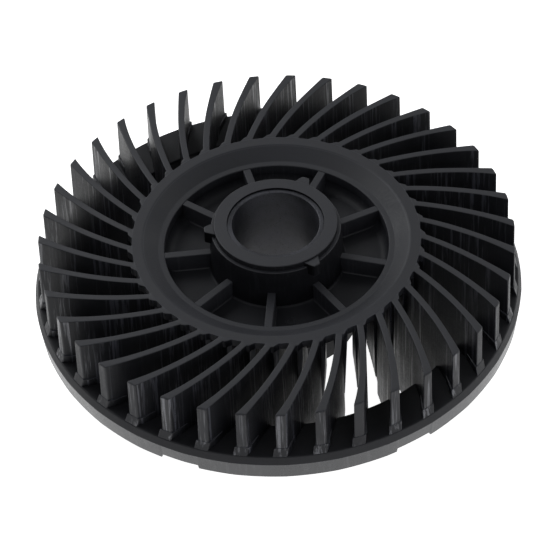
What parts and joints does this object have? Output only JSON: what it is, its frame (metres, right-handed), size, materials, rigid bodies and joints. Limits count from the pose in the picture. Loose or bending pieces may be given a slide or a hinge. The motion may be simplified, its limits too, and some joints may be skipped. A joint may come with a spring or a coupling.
{
  "type": "flywheel",
  "caption": "Moulded black cooling-fan flywheel: swept blades between a dished web and a rim, on a lugged hub that turns on a plain bush.",
  "frame": {"origin": "on the wheel's axis, in the plane of the hub barrel's lower end", "axes": "+Z along the axis of rotation, from the rim towards the hub's collar; +X and +Y are the picture's right and away from the camera"},
  "size_m": [0.1256, 0.1256, 0.0336],
  "materials": {
    "nylon": "satin moulded black nylon",
    "bush": "dark oil-soaked sintered iron, satin"
  },
  "bodies": {
    "bush": {"bore_bush": "bush"},
    "wheel": {"hub_boss": "nylon", "hub_collar": "nylon", "hub_lugs": "nylon", "hub_core": "nylon", "core_webs": "nylon", "hub_barrel": "nylon", "well_floor": "nylon", "well_wall": "nylon", "well_ribs": "nylon", "dish_slope": "nylon", "top_ring": "nylon", "rim_plate": "nylon", "rim_band": "nylon", "rim_inner_wall": "nylon", "blade_01": "nylon", "blade_02": "nylon", "blade_03": "nylon", "blade_04": "nylon", "blade_05": "nylon", "blade_06": "nylon", "blade_07": "nylon", "blade_08": "nylon", "blade_09": "nylon", "blade_10": "nylon", "blade_11": "nylon", "blade_12": "nylon", "blade_13": "nylon", "blade_14": "nylon", "blade_15": "nylon", "blade_16": "nylon", "blade_17": "nylon", "blade_18": "nylon", "blade_19": "nylon", "blade_20": "nylon", "blade_21": "nylon", "blade_22": "nylon", "blade_23": "nylon", "blade_24": "nylon", "blade_25": "nylon", "blade_26": "nylon", "blade_27": "nylon", "blade_28": "nylon", "blade_29": "nylon", "blade_30": "nylon", "blade_31": "nylon", "blade_32": "nylon", "blade_33": "nylon", "blade_34": "nylon", "blade_35": "nylon", "blade_36": "nylon", "blade_37": "nylon", "blade_38": "nylon", "blade_39": "nylon"}
  },
  "joints": [
    {"name": "spin", "type": "hinge", "parent": "bush", "child": "wheel", "pos_m": [0, 0, 0.0165], "axis": [0, 0, 1], "continuous": true}
  ]
}
